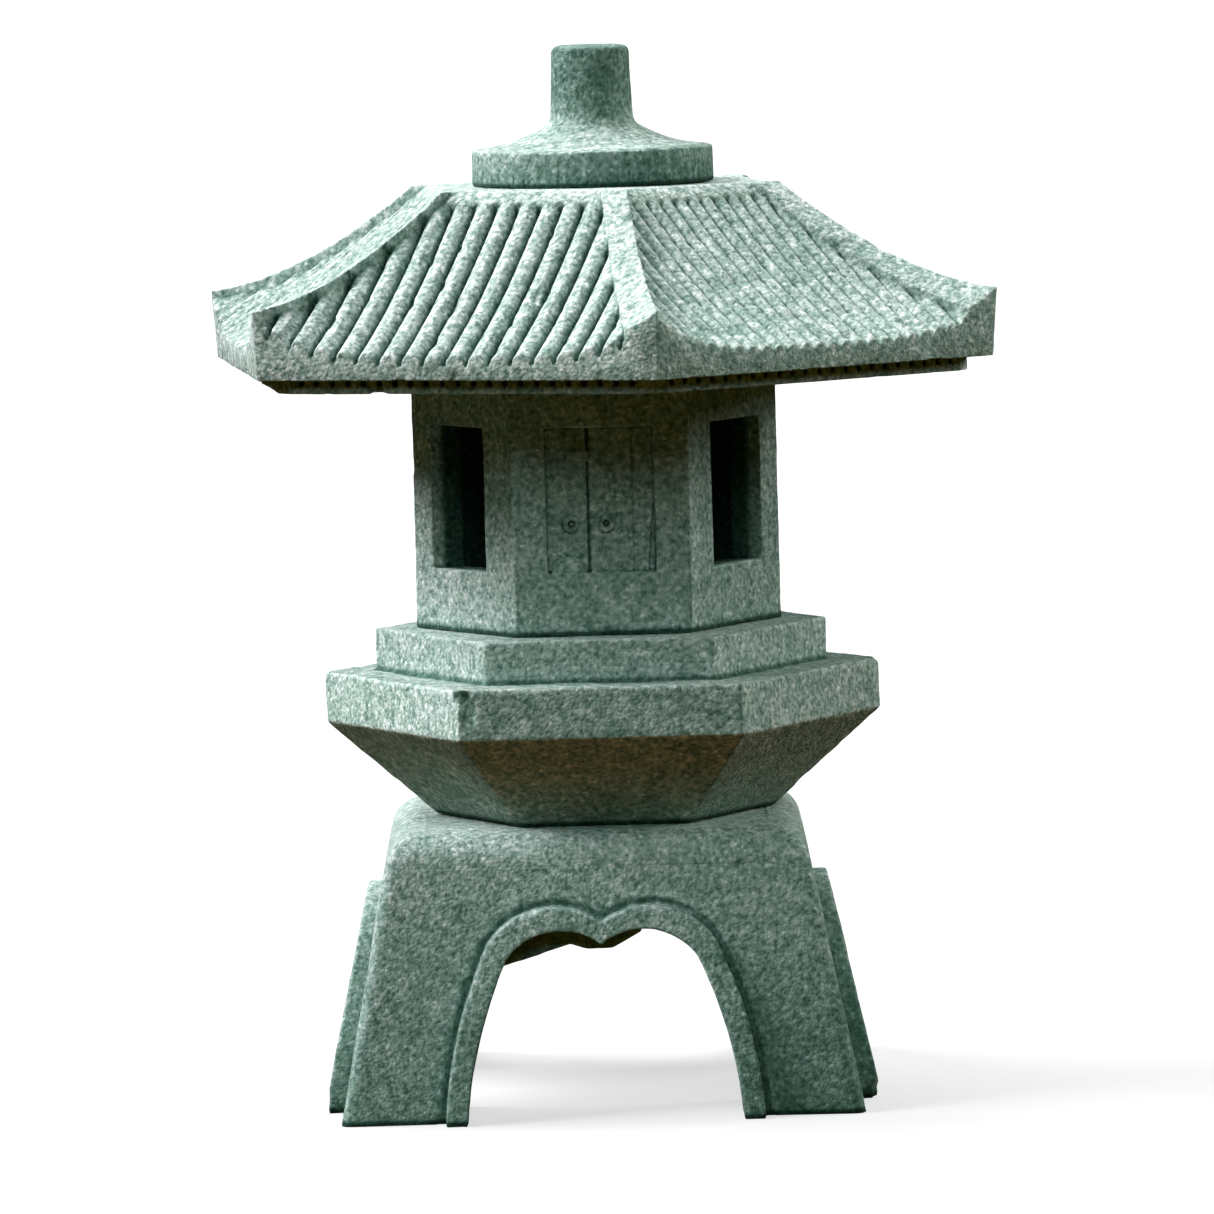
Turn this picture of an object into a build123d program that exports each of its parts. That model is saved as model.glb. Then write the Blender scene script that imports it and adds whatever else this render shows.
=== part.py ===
from build123d import *
import os
from math import cos, pi, tan

# A small stone lantern of five stones stacked dry on round dowels. Millimetres, +Z up.
# The origin is on the ground, on the axis of the dowels, and -Y is the front.

# ---- heights above the ground ----
stand_top = 12.5
ledge_bottom = 16.85         # lower step of the platform
ledge_top = 19.1
platform_top = 21.0
firebox_top = 32.35
fascia_bottom = 33.0
eave_top = 34.05             # top of the fascia at the middle of a side
roof_top = 40.8
disc_rim = 42.4
knob_base = 43.8
knob_top = 47.0

# ---- radii to the corners of the hexagons ----
roof_radius = 19.1
roof_top_radius = 8.46
under_layer_radius = 17.7
firebox_radius = 7.8
firebox_side_radius = 8.22   # to the corners on the left and the right
step_radius = 10.18
ledge_radius = 12.5
platform_foot_radius = 7.57

# ---- how each stone was cast and laid ----
platform_turn = -0.7         # degrees about the vertical
firebox_turn = 1.6
roof_turn = -22.5
stand_shift = -0.45          # how far a stone's middle is to the right of its dowel
firebox_shift = -0.06
roof_shift = 0.25
finial_shift = 0.2

# ---- roof ----
eave_slope = 0.52            # steepness at the eave, and how fast it grows towards the top
slope_growth = 0.0205
corner_rise = 1.7            # how far the eave sweeps up at a corner
slope_thickness = 9.0        # more than the roof is high, so that a side is solid down to the eaves
fascia_draft = 4.0           # degrees
wide_ribs = (19, 1.04, 0.84, 0.75)   # how many ribs, their pitch, and the grooves' width and depth
fine_ribs = (24, 0.745, 0.6, 0.48)   # the two kinds of side take turns round the roof
# A groove's section: how far across it, in widths, and how deep, in depths.
groove_section = ((-0.5, -0.04), (-0.22, 0.25), (0, 1), (0.14, 0.3), (0.5, -0.04))
groove_head = 0.6            # how far a groove's cutter stands above the slope
top_band = 0.3               # plain band above the ribs
slope_core = (6, 8)          # the block that fills the middle under a side, out and along
ridge_height = 0.26
ridge_top = (-0.6, 0.4)      # where a hip ridge lies across its corner line, at the roof's top
ridge_tip = (-1.35, 0.05)    # and at its tip
rafter_count = 23
rafter_pitch = 0.745
rafter_gap = (0.3, 0.28, 0.32)   # depth, width and height of the gap between two rafter ends
under_layer_chamfer = 0.5
spigot_radius = 5.3
spigot_height = 0.9
overlap = 0.3                # how far a part of a stone is sunk into the one that it grows out of

# ---- finial ----
disc_radius = 5.41
cone_foot = (4.61, 42.52)    # radius and height where the cone meets the disc's rounded edge
cone_waist = (3.0, 42.95)
cone_top = (1.97, 43.5)
knob_radius_base = 1.87
knob_radius_top = 1.76
knob_rounding = 0.34

# ---- firebox ----
chamber_radius = 5.45        # from the axis to the flat sides of the space inside
firebox_floor = 2.0
window_width = 4.3
window_bottom = 23.78
window_top = 30.25
window_shifts = {90: 0, 210: -0.5, 330: 0.35}    # side, and how far its window is off the middle
door_sides = (30, 150, 270)
door_width = 4.84
door_recess = 0.3
door_line = -0.53            # where the two leaves meet, left of the middle of the face
door_leaf = 1.88
jamb_recess = 0.08
sill_line = (0.4, 0.13)      # depth and height of the line along the foot of the doors
jamb_line = ((0, 0), (0, 3.4), (-0.08, 3.4), (-0.34, 0))   # the wedge cut beside the right leaf, as deep
relief_height = 0.22         # of the rings, the latch and the apron
seam_width = 0.18
ring_spacing = 0.78          # from the meeting line to a ring
ring_height = 2.2            # above the sill
ring_radii = (0.36, 0.17)
latch = (0.45, 5.2, 0.95, 0.4)   # left of the meeting line, above the sill, width and height
apron_radius = 0.75

# ---- stand ----
foot_half_width = 11.57
top_half_width = 9.15
shoulder_radius = 1.6
leg_edge_radius = 0.5
arch_shift = 0.1             # the arches are cast a little off the middle of each side
rim_raise = (0.87, 0.55)     # how far the rims stand out, at the ground and at the top
rim_line_width = 0.28
rim_line_depth = 0.2
# Half of an arch, out from its middle: cusp, lobe, shoulder, waist and foot.
arch_opening = ((0, 7.65), (2.35, 8.27), (4.2, 7.1), (5.28, 4.3), (6.08, 0))
arch_rim = ((0, 8.63), (2.5, 9.32), (5.04, 7.84), (6.38, 4.2), (7.06, 0))
# Stone left by the mould behind the front arch, where it hangs lowest on the left.
flash_outline = ((-5.1, 6.3), (-2.5, 7.05), (-1.3, 7.45), (-0.5, 7.2), (0.6, 7.25), (1.9, 7.95))
flash_top = 9.0
flash_front = -8.4
flash_back = -5.8

# ---- dowels ----
pin_radius = 1.0
pin_depth = 2.0              # into a solid stone
floor_pin_depth = 1.4        # into the firebox floor
finial_pin_radius = 0.75
finial_pin_depth = 2.4
pin_clearance = 0.04         # radial, in the stone's hole
pin_end_gap = 0.1

face_angles = [30 + 60 * side for side in range(6)]


def apothem(radius):
    """Distance from the axis to the flat side of a hexagon."""
    return radius * cos(pi / 6)


def hexagon(radius, height):
    """A hexagon with a corner on +X, at this height."""
    return Pos(0, 0, height) * RegularPolygon(radius, 6)


def hex_block(radius, bottom, top):
    return extrude(hexagon(radius, bottom), top - bottom)


def peg(radius, bottom, top):
    return Pos(0, 0, (bottom + top) / 2) * Cylinder(radius, top - bottom)


def dowel(radius, down, up, joint):
    """A round pin that reaches this far down and up into the stones on both sides of a joint."""
    pin = peg(radius, joint - down, joint + up)
    return chamfer(pin.edges().filter_by(GeomType.CIRCLE), radius * 0.15)


def socket(radius, down, up, joint):
    """The holes that a dowel leaves in the two stones of a joint."""
    return peg(radius + pin_clearance, joint - down - pin_end_gap, joint + up + pin_end_gap)


# ---- roof ----

def slope_height(out):
    """Height of the roof's face at a distance out from the axis, on the middle line of a side."""
    inward = apothem(roof_radius) - out
    return eave_top + eave_slope * inward + slope_growth * inward ** 2


def eave_lift(along):
    """How far the roof's face is swept up at a distance along the side from its middle."""
    return corner_rise * (abs(along) / (roof_radius / 2)) ** 4


def slope_band(start, end, below, above):
    """A band that follows the slope from start to end, in the plane across the middle of a side."""
    stations = [start + (end - start) * step / 4 for step in range(5)]
    lower = Spline([(out, 0, slope_height(out) - below) for out in stations])
    upper = Spline([(out, 0, slope_height(out) + above) for out in stations])
    return make_face(lower + upper + Line(lower @ 0, upper @ 0) + Line(lower @ 1, upper @ 1))


def swept_slope():
    """The body under one side of the roof: its slope, carried along the upswept eave."""
    start = roof_top_radius / 2
    section = slope_band(start, apothem(roof_radius) + 1, slope_thickness, 0)
    side = roof_radius / 2 + 1
    stations = [side * step / 4 for step in range(-4, 5)]
    return loft([Pos(0, along, eave_lift(along)) * section for along in stations])


def tile_groove(along, width, depth):
    """The groove between two round tile ribs, shallow at its edges and steep in its middle."""
    start = apothem(roof_top_radius) + top_band
    end = apothem(roof_radius) + 0.5
    sections = []
    for across, cut in groove_section:
        band = slope_band(start, end, cut * depth, groove_head)
        sections.append(Pos(0, along + across * width, 0) * band)
    return Pos(0, 0, eave_lift(along)) * loft(sections, ruled=True)


def hip_ridge(slope):
    """A flat ridge that a side raises along its corner on the left, wider towards its tip."""
    start = roof_top_radius / 2
    end = roof_radius + 1
    plan = make_face(Polyline(
        (start, ridge_top[0]), (end, ridge_tip[0]), (end, ridge_tip[1]), (start, ridge_top[1]), close=True))
    plan = Pos(0, 0, fascia_bottom) * Rot(0, 0, 30) * extrude(plan, roof_top - fascia_bottom)
    return Pos(0, 0, ridge_height) * slope & plan


def roof_side(rib_count, rib_pitch, groove_width, groove_depth):
    """One sixth of the roof, facing +X."""
    grooves = []
    for number in range(rib_count - 1):
        along = (number - (rib_count - 2) / 2) * rib_pitch
        grooves.append(tile_groove(along, groove_width, groove_depth))
    reach = roof_radius + 2
    height = roof_top - fascia_bottom
    wedge = make_face(Polyline(
        (0, 0), (reach, -reach * tan(pi / 6)), (reach, reach * tan(pi / 6)), close=True))
    wedge = Pos(0, 0, fascia_bottom) * extrude(wedge, height)
    core_depth, core_width = slope_core
    core = Pos(core_depth / 2, 0, fascia_bottom + height / 2) * Box(core_depth, core_width, height)
    slope = swept_slope()
    return ((slope + core - grooves) & wedge) + hip_ridge(slope)


def under_layer():
    """The set-back layer below the fascia, with a row of rafter ends along each side."""
    layer = hex_block(under_layer_radius, firebox_top, fascia_bottom + overlap)
    layer = chamfer(layer.edges().filter_by(Axis.Z), under_layer_chamfer)
    depth, width, height = rafter_gap
    gaps = []
    for angle in face_angles:
        for number in range(rafter_count - 1):
            along = (number - (rafter_count - 2) / 2) * rafter_pitch
            gap = Box(2 * depth, width, height)
            place = Pos(apothem(under_layer_radius), along, fascia_bottom - height / 2)
            gaps.append(Rot(0, 0, angle) * place * gap)
    return layer - gaps


def make_roof():
    wide = roof_side(*wide_ribs)
    fine = roof_side(*fine_ribs)
    sides = [Rot(0, 0, angle) * (wide if angle in door_sides else fine) for angle in face_angles]
    body = sides[0].fuse(*sides[1:])
    skirt_top = eave_top + corner_rise + ridge_height
    skirt = extrude(hexagon(roof_radius, skirt_top), fascia_bottom - skirt_top, taper=fascia_draft)
    skirt = skirt + hex_block(roof_radius, skirt_top, roof_top)
    body = (body & skirt) + under_layer()
    body = Pos(roof_shift, 0, 0) * Rot(0, 0, roof_turn) * body
    body = body + peg(spigot_radius, firebox_top - spigot_height, firebox_top + overlap)
    return body - socket(finial_pin_radius, finial_pin_depth, finial_pin_depth, roof_top)


# ---- finial ----

def make_finial():
    """A turned stone: a disc, a hollow-sided cone and a short round knob."""
    cone = Spline(cone_top, cone_waist, cone_foot)
    outline = Polyline(
        cone @ 1, (disc_radius, disc_rim), (disc_radius, roof_top), (0, roof_top),
        (0, knob_top), (knob_radius_top, knob_top), (knob_radius_base, knob_base), cone @ 0)
    body = revolve(Plane.XZ * make_face(cone + outline), Axis.Z)
    body = fillet(body.faces().sort_by(Axis.Z)[-1].edges(), knob_rounding)
    body = Pos(finial_shift, 0, 0) * body
    return body - socket(finial_pin_radius, finial_pin_depth, finial_pin_depth, roof_top)


# ---- firebox ----

def door_ring():
    """The round pull of a door leaf, lying on the ground and as high as the relief."""
    outer, inner = ring_radii
    return Cylinder(outer, 2 * relief_height) - Cylinder(inner, 4 * relief_height)


def door_relief():
    """What is cut from a side to leave a pair of doors. The side's face is at x = 0, facing +X."""
    height = window_top - window_bottom
    middle = (window_bottom + window_top) / 2
    floor = -door_recess
    recess = Pos(0, 0, middle) * Box(2 * door_recess, door_width, height)
    seam = Pos(floor, door_line, middle) * Box(2 * seam_width, seam_width, height)
    right_edge = door_line + door_leaf
    jamb_width = door_width / 2 - right_edge
    jamb = Pos(floor, right_edge + jamb_width / 2, middle) * Box(2 * jamb_recess, jamb_width, height)
    line_depth, line_height = sill_line
    sill = Pos(floor, 0, window_bottom + line_height / 2) * Box(2 * line_depth, door_width, line_height)
    wedge = [(0, door_width / 2 + across, window_bottom + up) for across, up in jamb_line]
    wedge = extrude(make_face(Polyline(wedge, close=True)), door_recess + line_depth, dir=(-1, 0, 0))
    flat = Rot(0, 90, 0)
    relief = []
    for side in (-1, 1):
        place = Pos(floor, door_line + side * ring_spacing, window_bottom + ring_height)
        relief.append(place * flat * door_ring())
    latch_shift, latch_rise, latch_width, latch_height = latch
    place = Pos(floor, door_line - latch_shift, window_bottom + latch_rise)
    relief.append(place * Box(2 * relief_height, latch_width, latch_height))
    apron = Pos(floor, door_line - door_leaf / 2, window_bottom)
    relief.append(apron * flat * Cylinder(apron_radius, 2 * relief_height))
    return recess + seam + jamb + sill + wedge - relief


def firebox_outline():
    """A hexagon that is a little longer from left to right."""
    x = firebox_radius / 2
    y = apothem(firebox_radius)
    return make_face(Polyline(
        (firebox_side_radius, 0), (x, y), (-x, y), (-firebox_side_radius, 0), (-x, -y), (x, -y), close=True))


def make_firebox():
    """A hollow hexagon with windows and pairs of doors in turn round its six sides."""
    body = Pos(0, 0, platform_top) * extrude(firebox_outline(), firebox_top - platform_top)
    wall = firebox_side_radius - chamber_radius
    window = Box(2 * wall, window_width, window_top - window_bottom)
    face = apothem(firebox_radius)
    for angle, shift in window_shifts.items():
        body -= Rot(0, 0, angle) * Pos(face, shift, (window_bottom + window_top) / 2) * window
    for angle in door_sides:
        body -= Rot(0, 0, angle) * Pos(face, 0, 0) * door_relief()
    turn = Rot(0, 0, firebox_turn)
    body = Pos(firebox_shift, 0, 0) * turn * body
    body -= turn * hex_block(chamber_radius / cos(pi / 6), platform_top + firebox_floor, firebox_top + 1)
    return body - socket(pin_radius, pin_depth, floor_pin_depth, platform_top)


# ---- platform ----

def make_platform():
    """Two hexagonal steps over an underside that tapers in to the stand."""
    body = hex_block(step_radius, ledge_top, platform_top)
    body += hex_block(ledge_radius, ledge_bottom, ledge_top)
    body += loft([hexagon(platform_foot_radius, stand_top), hexagon(ledge_radius, ledge_bottom)], ruled=True)
    body -= socket(pin_radius, pin_depth, floor_pin_depth, platform_top)
    body -= socket(pin_radius, pin_depth, pin_depth, stand_top)
    return Rot(0, 0, platform_turn) * body


# ---- stand ----

def splayed_block(foot_grow, top_grow):
    """The stand's outer shape without its arches, grown by this much at its foot and its top."""
    foot = 2 * (foot_half_width + foot_grow)
    top = 2 * (top_half_width + top_grow)
    return loft([Rectangle(foot, foot), Pos(0, 0, stand_top) * Rectangle(top, top)], ruled=True)


def arch_face(outline):
    """An arch as seen from the front: two lobes that meet in a hanging cusp."""
    halves = []
    for side in (1, -1):
        top, crown, bend, middle, end = [(arch_shift + side * x, 0, z) for x, z in outline]
        halves += [ThreePointArc(top, crown, bend), ThreePointArc(bend, middle, end)]
    below = Vector(0, 0, -1)
    right = halves[1] @ 1
    left = halves[3] @ 1
    ground = Polyline(right, right + below, left + below, left)
    return make_face(Curve() + halves + ground)


def casting_flash():
    """A rough web of stone that hangs behind the crown of the front arch."""
    first = flash_outline[0][0]
    last = flash_outline[-1][0]
    points = [(x, flash_front, z) for x, z in (*flash_outline, (last, flash_top), (first, flash_top))]
    return extrude(make_face(Polyline(points, close=True)), flash_back - flash_front, dir=(0, 1, 0))


def make_leg_stand():
    opening = arch_face(arch_opening)
    rim = arch_face(arch_rim)
    rim_line = offset(rim, rim_line_width)
    reach = foot_half_width + 3
    body = splayed_block(0, 0)
    body = fillet(body.faces().sort_by(Axis.Z)[-1].edges(), shoulder_radius)
    slanted = body.edges().filter_by(lambda edge: edge.length > 9 and abs(edge.tangent_at(0.5).Z) > 0.5)
    body = fillet(slanted, leg_edge_radius)
    inside = splayed_block(-rim_line_depth, -rim_line_depth)
    outside = splayed_block(*rim_raise)
    outward = (0, -1, 0)
    quarters = [Rot(0, 0, 90 * number) for number in range(4)]
    body -= [turn * (extrude(rim_line, reach, dir=outward) - inside) for turn in quarters]
    body += [turn * (extrude(rim, reach, dir=outward) & outside) for turn in quarters]
    body -= [turn * extrude(opening, reach, both=True) for turn in quarters[:2]]
    body += casting_flash()
    body -= Pos(0, 0, -2) * Box(4 * reach, 4 * reach, 4)
    body = Pos(stand_shift, 0, 0) * body
    return body - socket(pin_radius, pin_depth, pin_depth, stand_top)


# ---- write one file for each piece ----

os.makedirs("parts", exist_ok=True)
pieces = {
    "finial": make_finial(),
    "roof": make_roof(),
    "firebox": make_firebox(),
    "platform": make_platform(),
    "leg_stand": make_leg_stand(),
    "finial_pin": dowel(finial_pin_radius, finial_pin_depth, finial_pin_depth, roof_top),
    "firebox_pin": dowel(pin_radius, pin_depth, floor_pin_depth, platform_top),
    "platform_pin": dowel(pin_radius, pin_depth, pin_depth, stand_top),
}
for name, piece in pieces.items():
    export_step(piece, f"parts/{name}.step")
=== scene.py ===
from math import cos, pi, radians, sin

import bpy
import numpy as np
from mathutils import Matrix, Vector, noise


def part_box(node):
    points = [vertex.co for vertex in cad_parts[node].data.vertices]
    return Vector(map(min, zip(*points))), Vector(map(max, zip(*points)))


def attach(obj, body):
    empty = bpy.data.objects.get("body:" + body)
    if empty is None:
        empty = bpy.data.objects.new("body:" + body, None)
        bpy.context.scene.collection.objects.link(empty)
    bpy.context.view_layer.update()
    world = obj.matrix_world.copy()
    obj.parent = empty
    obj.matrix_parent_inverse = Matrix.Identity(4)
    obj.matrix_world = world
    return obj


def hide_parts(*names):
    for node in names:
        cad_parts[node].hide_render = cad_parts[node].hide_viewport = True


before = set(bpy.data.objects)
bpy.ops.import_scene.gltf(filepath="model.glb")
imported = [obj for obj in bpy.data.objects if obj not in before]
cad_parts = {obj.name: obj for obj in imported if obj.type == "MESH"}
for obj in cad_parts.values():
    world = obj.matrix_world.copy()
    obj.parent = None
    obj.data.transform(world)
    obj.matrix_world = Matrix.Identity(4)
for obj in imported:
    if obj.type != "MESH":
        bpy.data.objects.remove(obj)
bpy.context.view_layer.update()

# The stones are worked on in millimetres, with the front at -Y, and scaled back to metres at the end.
MM = 0.001

# ---- camera, in metres and degrees ----
CAMERA_DISTANCE = 0.4114
CAMERA_HEIGHT = 0.0576
CAMERA_PAN = radians(0.042)
CAMERA_PITCH = radians(-4.99)
CAMERA_ROLL = radians(1.564)
CAMERA_LENS = 271.7              # on a 36 mm sensor
CAMERA_NEAR = 0.01
CAMERA_FAR = 10


def make_camera():
    """A long lens a little above the lantern, looking slightly down, tilted a little."""
    right = Vector((cos(CAMERA_PAN), -sin(CAMERA_PAN), 0))
    level = Vector((sin(CAMERA_PAN), cos(CAMERA_PAN), 0))
    forward = level * cos(CAMERA_PITCH) + Vector((0, 0, sin(CAMERA_PITCH)))
    up = right.cross(forward)
    tilted_right = right * cos(CAMERA_ROLL) - up * sin(CAMERA_ROLL)
    tilted_up = right * sin(CAMERA_ROLL) + up * cos(CAMERA_ROLL)
    place = Matrix((tilted_right, tilted_up, -forward)).transposed().to_4x4()
    place.translation = Vector((0, -CAMERA_DISTANCE, CAMERA_HEIGHT))
    data = bpy.data.cameras.new("camera")
    data.lens = CAMERA_LENS
    data.clip_start = CAMERA_NEAR
    data.clip_end = CAMERA_FAR
    camera = bpy.data.objects.new("camera", data)
    camera.matrix_world = place
    bpy.context.scene.collection.objects.link(camera)
    bpy.context.scene.camera = camera


# ---- node helpers ----

def new_material(name):
    material = bpy.data.materials.new(name)
    material.use_nodes = True
    tree = material.node_tree
    shader = tree.nodes["Principled BSDF"]
    return material, tree, shader


def node(tree, kind, inputs=None, **settings):
    """A new node with its settings and inputs; an input is a value or another node's output."""
    made = tree.nodes.new(kind)
    for name, value in settings.items():
        setattr(made, name, value)
    for name, value in (inputs or {}).items():
        if isinstance(value, bpy.types.NodeSocket):
            tree.links.new(value, made.inputs[name])
        else:
            made.inputs[name].default_value = value
    return made


def noise_texture(tree, place, scale, detail, roughness=0.5):
    made = node(tree, "ShaderNodeTexNoise", {
        "Vector": place, "Scale": scale, "Detail": detail, "Roughness": roughness})
    return made.outputs["Fac"]


def ramp(tree, value, stops):
    made = node(tree, "ShaderNodeValToRGB", {"Fac": value})
    elements = made.color_ramp.elements
    while len(elements) < len(stops):
        elements.new(0.5)
    for element, (position, shade) in zip(elements, stops):
        element.position = position
        element.color = (*shade, 1)
    return made.outputs["Color"]


def multiply(tree, first, second):
    made = node(tree, "ShaderNodeMix", data_type="RGBA", blend_type="MULTIPLY")
    made.inputs["Factor"].default_value = 1.0
    for name, value in (("A", first), ("B", second)):
        socket = [s for s in made.inputs if s.name == name and s.type == "RGBA"][0]
        if isinstance(value, bpy.types.NodeSocket):
            tree.links.new(value, socket)
        else:
            socket.default_value = (*value, 1)
    return [s for s in made.outputs if s.type == "RGBA"][0]


def mixed(tree, amount, first, second):
    """The first shader where the amount is 0 and the second where it is 1."""
    made = node(tree, "ShaderNodeMixShader", {"Fac": amount})
    tree.links.new(first.outputs[0], made.inputs[1])
    tree.links.new(second.outputs[0], made.inputs[2])
    return made


def seen_directly(tree):
    return node(tree, "ShaderNodeLightPath").outputs["Is Camera Ray"]


# ---- sandstone ----
STONE_COLOUR = (0.37, 0.472, 0.436)
STONE_ROUGHNESS = 0.92
STONE_SPECULAR = 0.15
TONE_POWERS = (1.35, 1.0, 1.12)  # what is darker is greener, in the grains and in the painted shade alike
PER_METRE = (1000, 1000, 1000)   # makes a texture's scale a count of features in a millimetre
GRAINS_PER_MM = 6.5
SAND_PER_MM = 4.1
LUMPS_PER_MM = 1.6
CLOUDS_PER_MM = 0.3
GRAIN_RELIEF = 0.00003           # metres
SAND_RELIEF = 0.00006
# Each texture's shades, as where they lie on its ramp and what they multiply the stone's colour by.
GRAIN_SHADES = ((0.0, 0.68), (0.3, 0.92), (0.7, 1.03), (0.93, 1.1), (1.0, 1.45))
SAND_SHADES = ((0.3, 0.56), (0.5, 1.0), (0.7, 1.46))
LUMP_SHADES = ((0.3, 0.8), (0.7, 1.2))
CLOUD_COLOURS = ((0.3, (0.9, 0.94, 0.92)), (0.7, (1.07, 1.03, 1.05)))


def minerals(shades):
    """The stops of a ramp for these shades, greener as they get darker."""
    return [(position, tuple(shade ** power for power in TONE_POWERS)) for position, shade in shades]


def sandstone(name):
    """Pale grey-green cast sandstone of light and dark grains, 0.15 to 0.25 mm across.

    The mesh attribute "tone" holds the stains and the painted light and shade: painted shade in hollows,
    joints and chips, and a painted highlight on the edges, partly standing for their paler wear.
    """
    material, tree, shader = new_material(name)
    place = node(tree, "ShaderNodeTexCoord").outputs["Object"]
    place = node(tree, "ShaderNodeMapping", {"Vector": place, "Scale": PER_METRE}).outputs["Vector"]
    grains = node(tree, "ShaderNodeTexVoronoi", {
        "Vector": place, "Scale": GRAINS_PER_MM, "Randomness": 1.0})
    sand = noise_texture(tree, place, SAND_PER_MM, 2.5, 0.55)
    lumps = noise_texture(tree, place, LUMPS_PER_MM, 2.0)
    clouds = noise_texture(tree, place, CLOUDS_PER_MM, 3.0)
    per_grain = node(tree, "ShaderNodeSeparateColor", {"Color": grains.outputs["Color"]}).outputs["Red"]
    factors = (
        ramp(tree, per_grain, minerals(GRAIN_SHADES)),
        ramp(tree, sand, minerals(SAND_SHADES)),
        ramp(tree, lumps, minerals(LUMP_SHADES)),
        ramp(tree, clouds, CLOUD_COLOURS),
        node(tree, "ShaderNodeAttribute", attribute_name="tone").outputs["Color"],
    )
    colour = STONE_COLOUR
    for factor in factors:
        colour = multiply(tree, colour, factor)
    tree.links.new(colour, shader.inputs["Base Color"])
    bump = node(tree, "ShaderNodeBump", {
        "Height": grains.outputs["Distance"], "Strength": 1.0, "Distance": GRAIN_RELIEF}, invert=True)
    bump = node(tree, "ShaderNodeBump", {
        "Height": sand, "Normal": bump.outputs["Normal"], "Strength": 1.0, "Distance": SAND_RELIEF})
    tree.links.new(bump.outputs["Normal"], shader.inputs["Normal"])
    shader.inputs["Roughness"].default_value = STONE_ROUGHNESS
    shader.inputs["Specular IOR Level"].default_value = STONE_SPECULAR
    return material


# ---- steel ----
DRAWN_LINES = (9000, 9000, 500)  # in a metre across a pin, and along it
STEEL_SHADES = ((0.3, (0.5, 0.5, 0.5)), (0.7, (0.64, 0.64, 0.64)))
STEEL_ROUGHNESS = ((0.3, (0.28, 0.28, 0.28)), (0.7, (0.42, 0.42, 0.42)))


def drawn_steel():
    """A drawn stainless pin: faint lines along its length and a soft gloss."""
    material, tree, shader = new_material("drawn_steel")
    place = node(tree, "ShaderNodeTexCoord").outputs["Object"]
    place = node(tree, "ShaderNodeMapping", {"Vector": place, "Scale": DRAWN_LINES}).outputs["Vector"]
    lines = noise_texture(tree, place, 1.0, 3.0)
    tree.links.new(ramp(tree, lines, STEEL_SHADES), shader.inputs["Base Color"])
    tree.links.new(ramp(tree, lines, STEEL_ROUGHNESS), shader.inputs["Roughness"])
    shader.inputs["Metallic"].default_value = 1.0
    return material


# ---- mesh helpers ----
RELAX = 0.5                      # how far one pass of smoothing moves a point
SEED_STEPS = (17.3, 5.1, 9.7)    # how far apart two seeds' noise lies


def modified_mesh(piece):
    """A new mesh of the piece with its modifiers applied, and none left on the piece."""
    graph = bpy.context.evaluated_depsgraph_get()
    mesh = bpy.data.meshes.new_from_object(piece.evaluated_get(graph))
    piece.modifiers.clear()
    return mesh


def relax(piece, passes):
    smooth = piece.modifiers.new("relax", "SMOOTH")
    smooth.factor = RELAX
    smooth.iterations = passes


def points(mesh):
    flat = np.empty(len(mesh.vertices) * 3, np.float32)
    mesh.vertices.foreach_get("co", flat)
    return flat.reshape(-1, 3)


def normals(mesh):
    flat = np.empty(len(mesh.vertices) * 3, np.float32)
    mesh.vertex_normals.foreach_get("vector", flat)
    return flat.reshape(-1, 3)


def smoothed(piece, passes):
    """Where the piece's points go when its surface is relaxed this many times."""
    relax(piece, passes)
    mesh = modified_mesh(piece)
    places = points(mesh)
    bpy.data.meshes.remove(mesh)
    return places


def field(places, size, seed):
    """Smooth noise between about -1 and 1, with lumps of this size in millimetres."""
    shift = Vector([step * seed for step in SEED_STEPS])
    return np.array([noise.noise(Vector(p) / size + shift) for p in places], np.float32)


def ramped(values, low, high):
    """0 below low, 1 above high, and a straight ramp between them."""
    return np.clip((values - low) / (high - low), 0, 1)


# ---- stones ----
BULGE_PASSES = 14                # a surface is compared with itself, relaxed this often, to find its edges
WEAR_SIZE = 0.9                  # the size, threshold and depth of the wear along an edge
WEAR_START = 0.25
WEAR_DEPTH = 0.3
WEAR_EDGE = 0.03                 # how far an edge has to stand out for full wear
WAVE_SIZE = 3.0                  # the long waves of the cast surface
WAVE_HEIGHT = 0.045
DIMPLE_SIZE = 0.8
DIMPLE_HEIGHT = 0.02
CHIP_CORE = 0.3                  # the part of a chip's radius that has its full depth
# how dark the painted shade in a chip is
CHIP_PAINTED_SHADE = 0.6
AXIS_GAP = 0.001                 # keeps the direction to the axis defined on the axis itself
RELIEF_START = 0.2               # the part of a stone's relief at which its shades set in
# a painted highlight on a stone's edges, partly standing for their paler wear
EDGE_SHINE = 0.12
JOINT_PAINTED_SHADE = 0.34               # how far up the painted shade of a joint reaches on the stone above it
JOINT_PAINTED_SHADE_TONE = 0.15                # how much of the stone's colour is left in a joint's painted shade
SEAT_GAP = 0.005                 # how far a stone's skin stays off the stone below


def cast_block(name, voxel, wear, faces):
    """A CAD node's shape in millimetres as one dense skin with worn edges, in about this many triangles."""
    piece = bpy.data.objects.new(name + "_stone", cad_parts[name].data.copy())
    bpy.context.scene.collection.objects.link(piece)
    piece.data.transform(Matrix.Scale(1 / MM, 4))
    remesh = piece.modifiers.new("cast", "REMESH")
    remesh.mode = "VOXEL"
    remesh.voxel_size = voxel * 1
    relax(piece, wear)
    piece.data = modified_mesh(piece)
    count = sum(len(p.vertices) - 2 for p in piece.data.polygons)
    if count > faces:
        fewer = piece.modifiers.new("fewer", "DECIMATE")
        fewer.ratio = faces / count
        piece.data = modified_mesh(piece)
    return piece


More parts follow.
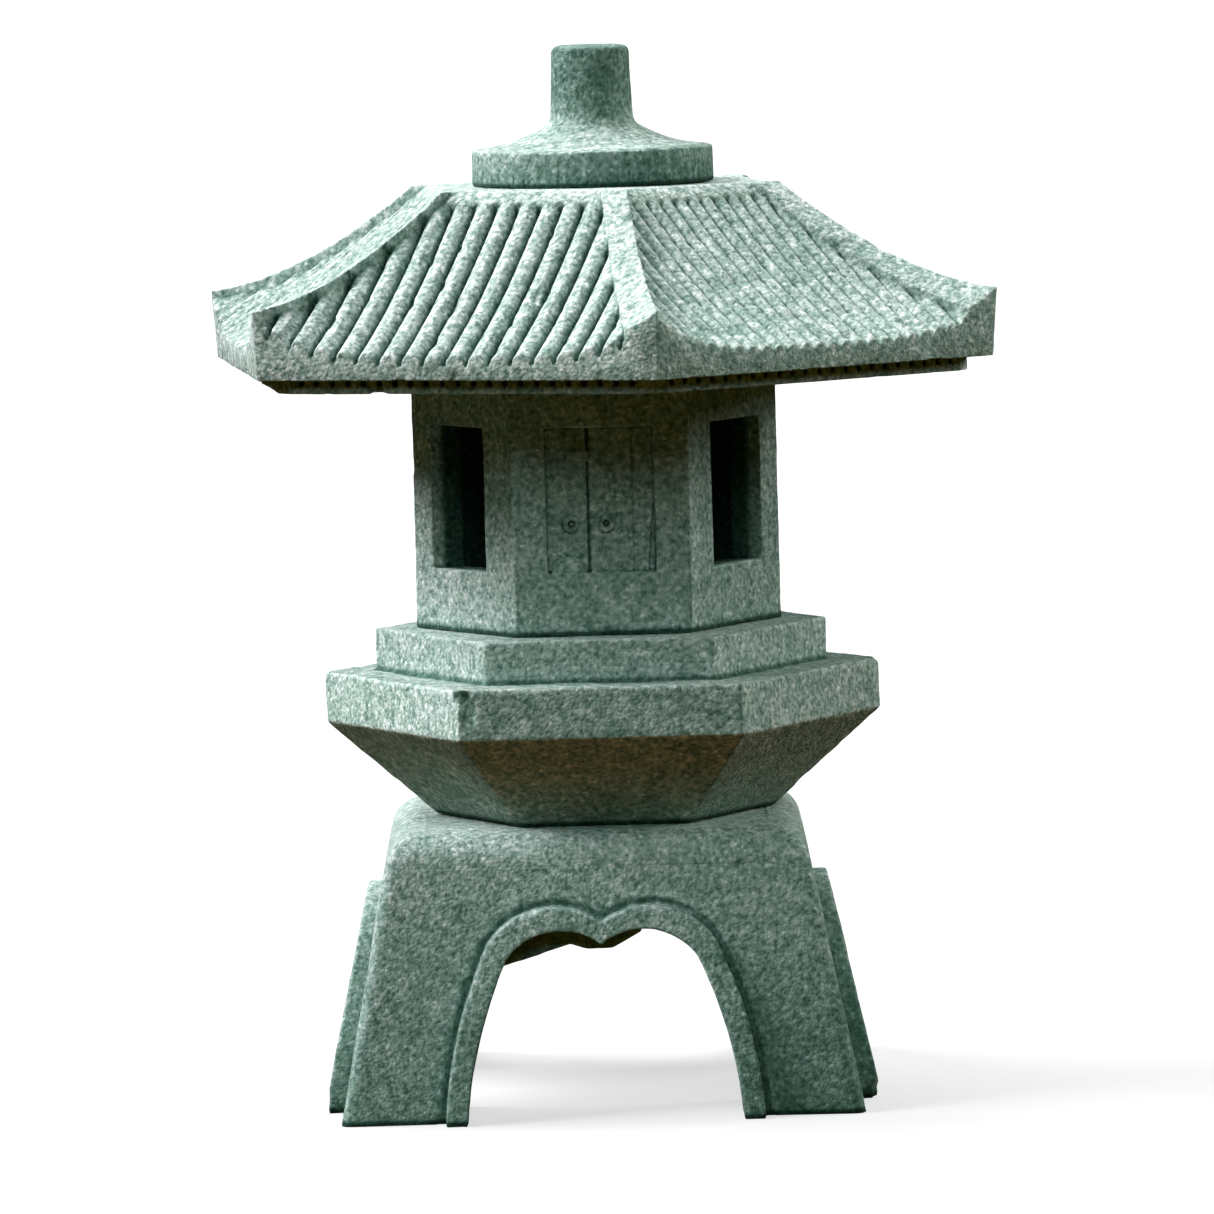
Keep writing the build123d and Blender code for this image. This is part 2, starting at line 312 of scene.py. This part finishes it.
def weathered(places, outward, bulge, seed, lumps):
    """Where a surface's points go when it is unevenly cast and worn along its edges."""
    edges = ramped(bulge, 0, WEAR_EDGE)
    worn = np.clip(field(places, WEAR_SIZE, seed) - WEAR_START, 0, 1) * edges * WEAR_DEPTH
    waves = field(places, WAVE_SIZE, seed + 1) * WAVE_HEIGHT
    dimples = field(places, DIMPLE_SIZE, seed + 2) * DIMPLE_HEIGHT
    return places + outward * ((waves + dimples) * lumps - worn)[:, None]


def chipped_off(places, chips):
    """The points with each chip pushed in towards the axis, and how deep in a chip each point is."""
    depths = np.zeros(len(places), np.float32)
    inward = -places * np.array((1, 1, 0), np.float32)
    inward /= np.linalg.norm(inward, axis=1)[:, None] + AXIS_GAP
    for centre, radius, depth in chips:
        away = np.linalg.norm(places - np.array(centre, np.float32), axis=1)
        hit = ramped(-away, -radius, -radius * CHIP_CORE)
        depths = np.maximum(depths, hit)
        places = places + inward * (hit * depth)[:, None]
    return places, depths


def store_tone(mesh, tone, painted_light_colour):
    """Give the mesh its attribute "tone": every point's shade, with the painted shade, warm reflection and
    light under the platform on it.
    """
    shades = np.ones((len(tone), 4), np.float32)
    for channel, power in enumerate(TONE_POWERS):
        shades[:, channel] = tone ** power
    shades[:, :3] *= painted_light_colour
    mesh.attributes.new("tone", "FLOAT_COLOR", "POINT").data.foreach_set("color", shades.ravel())


def unmarked(places):
    return np.ones(len(places), np.float32)


def no_painted_light_colour(places, outward):
    return 1


def no_painted_creases(places, outward, bulge):
    return 0


def stone(name, material, voxel, wear, faces, seed, relief=0.022, cavity=0.5, lumps=1, chips=(),
          stain_and_painted_shade=unmarked, painted_light_colour=no_painted_light_colour, painted_creases=no_painted_creases):
    """The stone that a CAD node stands for: worn edges, an uneven cast surface, chips and shades.

    An edge that stands out by the relief has its full painted highlight, partly standing for paler wear,
    and a hollow that sinks in by it has its full painted shade, the cavity. By place come real stains and
    painted shade, then painted shade with a painted warm reflection and painted light, and painted shade in
    creases.
    """
    piece = cast_block(name, voxel, wear, faces)
    mesh = piece.data
    places = points(mesh)
    outward = normals(mesh)
    bulge = ((places - smoothed(piece, BULGE_PASSES)) * outward).sum(1)
    places, chip_depths = chipped_off(weathered(places, outward, bulge, seed, lumps), chips)
    low, high = (corner[2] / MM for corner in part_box(name))
    seat = low + (SEAT_GAP if low > SEAT_GAP else 0)
    places[:, 2] = np.clip(places[:, 2], seat, high)
    mesh.vertices.foreach_set("co", places.ravel())
    edge = ramped(bulge, relief * RELIEF_START, relief)
    hollow = ramped(-bulge, relief * RELIEF_START, relief)
    # painted highlight on the edges, painted shade in the hollows and chips, and stains and painted shade
    # by place
    tone = (1 + EDGE_SHINE * edge - cavity * hollow) * stain_and_painted_shade(places) * (1 - CHIP_PAINTED_SHADE * chip_depths)
    tone *= 1 - painted_creases(places, outward, bulge)
    # painted shade in the joint at the foot of each stone
    above_joint_shade = ramped(places[:, 2], low + JOINT_PAINTED_SHADE / 2, low + JOINT_PAINTED_SHADE)
    tone = tone * (JOINT_PAINTED_SHADE_TONE + (1 - JOINT_PAINTED_SHADE_TONE) * above_joint_shade)
    store_tone(mesh, tone, painted_light_colour(places, outward))
    mesh.transform(Matrix.Scale(MM, 4))
    mesh.polygons.foreach_set("use_smooth", [True] * len(mesh.polygons))
    mesh.materials.clear()
    mesh.materials.append(material)
    mesh.update()
    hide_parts(name)
    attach(piece, name)


# ---- a hexagonal stone's sides ----
FIRST_SIDE = 30                  # degrees round from +X
SIDES = 6
SIDE_STEP = 60
# The firebox's sides with windows, counted from the first side; the others have doors.
WINDOW_SIDES = (1, 3, 5)


def on_sides(places, turn, shift):
    """Which of a hexagonal stone's six sides a point belongs to, how far out it is, and how far along."""
    angles = np.radians(turn + FIRST_SIDE + SIDE_STEP * np.arange(SIDES))
    across = places[:, 0:1] - shift
    deep = places[:, 1:2]
    out = across * np.cos(angles) + deep * np.sin(angles)
    along = deep * np.cos(angles) - across * np.sin(angles)
    side = out.argmax(1)
    rows = np.arange(len(places))
    return side, out[rows, side], along[rows, side]


# ---- the leg stand's chips, its darkening towards the ground and painted shade on the right ----
# A chip is where it is, how far round and how deep.
LEG_CHIPS = (
    ((11.9, -6.7, 0.0), 1.0, 0.45),
    ((-12.8, -6.7, 0.0), 1.2, 0.25),
)
LEG_HEIGHTS = (2, 12)            # the legs are darkest below the first and palest above the second
LEG_SIDES = (-8, 10)             # from the left-hand legs to the right-hand ones
LEG_TONE = 0.98
LEG_SHADE = 0.32
RIGHT_LEG_PAINTED_SHADE = 0.18           # painted shade on the right-hand legs, on top of the other


def leg_darkening_and_painted_shade(places):
    """The legs are darker towards the ground, and the right-hand ones a little more so in painted shade."""
    side = ramped(places[:, 0], *LEG_SIDES)
    dark_below, pale_above = LEG_HEIGHTS
    return LEG_TONE - (LEG_SHADE + RIGHT_LEG_PAINTED_SHADE * side) * ramped(-places[:, 2], -pale_above, -dark_below)


# ---- the platform's chips, painted shade, painted warm reflection and painted light ----
LEDGE_CHIPS = (
    ((-6.25, -10.85, 18.8), 0.55, 0.42),
    ((-6.0, -10.95, 18.35), 0.55, 0.42),
    ((-6.0, -10.95, 17.8), 0.45, 0.3),
)
STEP_FOOT = 19.1                 # above the ground
STEP_APOTHEM = 8.82
STEP_LINE_START = 0.1            # how far below the step's foot the line of painted shade sets in
STEP_LINE = (0.12, 0.3)          # how far above the foot it starts to fade, and where it ends
STEP_LINE_PAINTED_SHADE = 0.6
STEP_REACH = (0.1, 0.3)          # how far out of the step's sides the line fades, and where it ends
FACING_DOWN = (0.25, 0.5)        # the slopes from which a face belongs to the underside
FACING_FRONT = (0.45, 0.7)
FACING_LEFT = (0.4, 0.7)
BOUNCE_HEIGHTS = (12.3, 15.5)     # where the painted brown reflection comes in
SIDE_BOUNCE = 0.35                # how much of it the underside's other faces have
# the underside's painted shade, and the painted warm reflection on it
UNDERSIDE_PAINTED_SHADE = (0.62, 0.7, 0.64)
UNDERSIDE_PAINTED_BOUNCE = (0.86, 0.52, 0.3)
# painted light on the faces that turn to the left
LEFT_PAINTED_LIGHT = 0.25
STEP_PAINTED_LIGHT_LOSS = 0.8           # how much less of it the step has
STEP_PAINTED_LIGHT_FADE = 0.2           # over this height above the step's foot


def step_foot_painted_shade(places):
    """A line of painted shade in the crease round the foot of the platform's upper step."""
    _, out, _ = on_sides(places, 0, 0)
    fade, end = STEP_REACH
    inside = 1 - ramped(out, STEP_APOTHEM + fade, STEP_APOTHEM + end)
    height = places[:, 2]
    fade, end = STEP_LINE
    line = ramped(height, STEP_FOOT - STEP_LINE_START, STEP_FOOT)
    line *= ramped(-height, -STEP_FOOT - end, -STEP_FOOT - fade)
    return 1 - STEP_LINE_PAINTED_SHADE * line * inside


def underside_painted_shade_and_bounce(places, outward):
    """Painted shade under the platform with a painted warm brown reflection, most of it high up on the
    front, and painted light on the sides that face left.
    """
    under = ramped(-outward[:, 2], *FACING_DOWN)
    front = SIDE_BOUNCE + (1 - SIDE_BOUNCE) * ramped(-outward[:, 1], *FACING_FRONT)
    bounce_amount = front * ramped(places[:, 2], *BOUNCE_HEIGHTS)
    plain = np.array(UNDERSIDE_PAINTED_SHADE, np.float32)
    brown = np.array(UNDERSIDE_PAINTED_BOUNCE, np.float32)
    shade_and_bounce = plain + (brown - plain) * bounce_amount[:, None]
    lit_from_left = ramped(-outward[:, 0], *FACING_LEFT) * (1 - under)
    lit_from_left *= 1 - STEP_PAINTED_LIGHT_LOSS * ramped(places[:, 2], STEP_FOOT, STEP_FOOT + STEP_PAINTED_LIGHT_FADE)
    return (1 - under[:, None] * (1 - shade_and_bounce)) * (1 + LEFT_PAINTED_LIGHT * lit_from_left[:, None])


# ---- the firebox's painted shade ----
FIREBOX_TURN = 1.6               # degrees
FIREBOX_SHIFT = -0.06            # to the right
WINDOW_PAINTED_SHADE = (6.3, 6.6)         # how far out the painted shade fades and ends on a side with a window
DOOR_PAINTED_SHADE = (5.5, 5.8)           # and on a side with doors
# how much of the stone's colour is left in the chamber's painted shade
CHAMBER_PAINTED_SHADE_TONE = 0.2
RIGHT_PAINTED_SHADE_START = (4.0, 4.6)          # how far to the right the painted shade of the right-hand sides starts
RIGHT_SIDE_PAINTED_SHADE = 0.22


def chamber_painted_shade(places):
    """The inside of the light chamber and its windows are painted in shade, and the right-hand sides a
    little too.
    """
    side, out, _ = on_sides(places, FIREBOX_TURN, FIREBOX_SHIFT)
    windowed = np.isin(side, WINDOW_SIDES)
    plain = np.where(windowed, ramped(out, *WINDOW_PAINTED_SHADE), ramped(out, *DOOR_PAINTED_SHADE))
    return (CHAMBER_PAINTED_SHADE_TONE + (1 - CHAMBER_PAINTED_SHADE_TONE) * plain) * (1 - RIGHT_SIDE_PAINTED_SHADE * ramped(places[:, 0], *RIGHT_PAINTED_SHADE_START))


# ---- the roof's painted shade in the grooves and painted sheen ----
ROOF_TURN = -22.5                # degrees
ROOF_SHIFT = 0.25                # to the right
# The roof's two kinds of side: how many ribs, their pitch, how dark the painted shade in the grooves
# between them is, and how much paler than the rest of the stone the side is painted, a painted sheen.
WIDE_RIBS = (19, 1.04, 0.9, 0.12)
FINE_RIBS = (24, 0.745, 0.25, 0.04)
GROOVE_HALF_WIDTH = (0.1, 0.24)  # how far from a groove's middle its painted shade fades and ends
GROOVE_SINK = (0.004, 0.02)      # how far in a place has to lie to take the painted shade
RIB_WALL = (-0.19, -0.11)        # from a groove's middle, where the painted shade on the wall of the rib on its left begins
# The wall's other end, counted to the left: it is gone 0.06 to the right of the middle, and full
# 0.02 to the left of it.
RIB_WALL_END = (-0.06, 0.02)
RIB_WALL_LEAN = (0.3, 0.6)       # how much a wall leans to the right
EAVE = (33.1, 33.5)              # the heights at which the painted shade and sheen set in


def groove_painted_shade_and_sheen(places, outward, bulge):
    """Painted shade on the bottoms of the grooves between the roof's ribs and on the walls on their left,
    and a painted sheen on the sides.
    """
    side, _, along = on_sides(places, ROOF_TURN, ROOF_SHIFT)
    facing = np.radians(ROOF_TURN + FIRST_SIDE + SIDE_STEP * side)
    leaning = outward[:, 1] * np.cos(facing) - outward[:, 0] * np.sin(facing)
    painted_creases = np.zeros(len(places), np.float32)
    for kind, (count, pitch, strength, paler) in enumerate((WIDE_RIBS, FINE_RIBS)):
        groove = along / pitch + count / 2
        away = (groove - np.round(groove)) * pitch
        bottom = (1 - ramped(np.abs(away), *GROOVE_HALF_WIDTH)) * ramped(-bulge, *GROOVE_SINK)
        wall = ramped(away, *RIB_WALL) * ramped(-away, *RIB_WALL_END) * ramped(leaning, *RIB_WALL_LEAN)
        shade = strength * np.maximum(bottom, wall) - paler
        painted_creases = np.where(side % 2 == kind, shade, painted_creases)
    return painted_creases * ramped(places[:, 2], *EAVE)


# ---- the finial's stain and painted shade ----
KNOB_FOOT = 43.8                 # above the ground
KNOB_FADE = (-0.2, 1)            # from the knob's foot, where its shade begins and is full
KNOB_SHADE = 0.45
DISC_WALL = (4.9, 5.2)           # how far out the disc's wall is
DISC_WALL_FADE = (-3.5, 2.0)     # how far to the right the wall's painted shade begins and is full
DISC_WALL_PAINTED_SHADE = 0.36


def knob_stain_and_painted_shade(places):
    """The knob is stained darker than the disc that it stands on, and the disc's wall has painted shade on
    the right.
    """
    begin, full = KNOB_FADE
    knob = ramped(places[:, 2], KNOB_FOOT + begin, KNOB_FOOT + full)
    from_axis = np.hypot(places[:, 0], places[:, 1])
    wall = ramped(from_axis, *DISC_WALL) * ramped(places[:, 0], *DISC_WALL_FADE)
    return (1 - KNOB_SHADE * knob) * (1 - DISC_WALL_PAINTED_SHADE * wall)


# ---- light and floor ----
WHITE = (1, 1, 1, 1)
FLOOR_SIZE = 8.0                 # metres from the middle to a side
FLOOR_COLOUR = (0.8, 0.8, 0.8, 1)
FLOOR_GLOW = (0.055, 0.037, 0.003, 1)
FLOOR_SHADOW = 0.35              # how much of the stone's shadow shows
SKY_COLOUR = (0.6, 1.0, 0.75, 1)
SKY_STRENGTH = 0.01
SUN_SPREAD = radians(26)
# Each light's name, how far round from the front it stands, to the right, and how far up, in
# degrees, its strength and its colour.
SUNS = (
    ("key_back", -115, 42, 0.87, (1.0, 1.0, 1.0)),
    ("key_side", -80, 42, 0.87, (1.0, 1.0, 1.0)),
    ("top", 180, 65, 0.66, (1.0, 0.98, 1.0)),
    ("rim", 110, 20, 0.56, (0.98, 1.0, 0.93)),
    ("fill", 0, 30, 0.25, (0.75, 1.0, 0.9)),
)


def floor_material():
    """Seen directly the floor is white; the light that it throws up on the stone is dim and warm."""
    material, tree, shader = new_material("pale_floor")
    shader.inputs["Base Color"].default_value = FLOOR_COLOUR
    shader.inputs["Roughness"].default_value = 1.0
    shader.inputs["Specular IOR Level"].default_value = 0.0
    glow = node(tree, "ShaderNodeEmission", {"Color": FLOOR_GLOW, "Strength": 1.0})
    white = node(tree, "ShaderNodeEmission", {"Color": WHITE, "Strength": 1.0})
    shown = mixed(tree, FLOOR_SHADOW, white, shader)
    surface = mixed(tree, seen_directly(tree), glow, shown)
    tree.links.new(surface.outputs[0], tree.nodes["Material Output"].inputs["Surface"])
    return material


def make_floor():
    mesh = bpy.data.meshes.new("floor")
    corners = [(x * FLOOR_SIZE, y * FLOOR_SIZE, 0) for x, y in ((-1, -1), (1, -1), (1, 1), (-1, 1))]
    mesh.from_pydata(corners, [], [(0, 1, 2, 3)])
    mesh.materials.append(floor_material())
    floor = bpy.data.objects.new("floor", mesh)
    bpy.context.scene.collection.objects.link(floor)


def make_suns():
    for name, turn, rise, strength, colour in SUNS:
        data = bpy.data.lights.new(name, "SUN")
        data.angle = SUN_SPREAD
        data.energy = strength * pi
        data.color = colour
        turn = radians(turn)
        rise = radians(rise)
        source = Vector((sin(turn) * cos(rise), -cos(turn) * cos(rise), sin(rise)))
        lamp = bpy.data.objects.new(name, data)
        lamp.rotation_euler = source.to_track_quat("Z", "Y").to_euler()
        bpy.context.scene.collection.objects.link(lamp)


def make_sky():
    """A white backdrop that throws hardly any light."""
    world = bpy.data.worlds.new("studio")
    world.use_nodes = True
    tree = world.node_tree
    shown = node(tree, "ShaderNodeBackground", {"Color": WHITE, "Strength": 1.0})
    lighting = node(tree, "ShaderNodeBackground", {"Color": SKY_COLOUR, "Strength": SKY_STRENGTH})
    sky = mixed(tree, seen_directly(tree), lighting, shown)
    tree.links.new(sky.outputs[0], tree.nodes["World Output"].inputs["Surface"])
    bpy.context.scene.world = world
    bpy.context.scene.view_settings.view_transform = "Standard"


make_camera()
make_suns()
make_sky()
make_floor()
rock = sandstone("sandstone")
stone("leg_stand", rock, voxel=0.08, wear=5, faces=190000, seed=1, chips=LEG_CHIPS, stain_and_painted_shade=leg_darkening_and_painted_shade)
stone("platform", rock, voxel=0.08, wear=8, faces=150000, seed=2, chips=LEDGE_CHIPS, stain_and_painted_shade=step_foot_painted_shade,
      painted_light_colour=underside_painted_shade_and_bounce)
stone("firebox", rock, voxel=0.055, wear=3, faces=190000, seed=3, cavity=0.8, stain_and_painted_shade=chamber_painted_shade)
stone("roof", rock, voxel=0.065, wear=1, faces=197000, seed=4, relief=0.07, cavity=0.85, lumps=0.4,
      painted_creases=groove_painted_shade_and_sheen)
stone("finial", rock, voxel=0.06, wear=8, faces=60000, seed=5, stain_and_painted_shade=knob_stain_and_painted_shade)
steel = drawn_steel()
for name in ("finial_pin", "firebox_pin", "platform_pin"):
    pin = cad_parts[name]
    pin.data.materials.clear()
    pin.data.materials.append(steel)
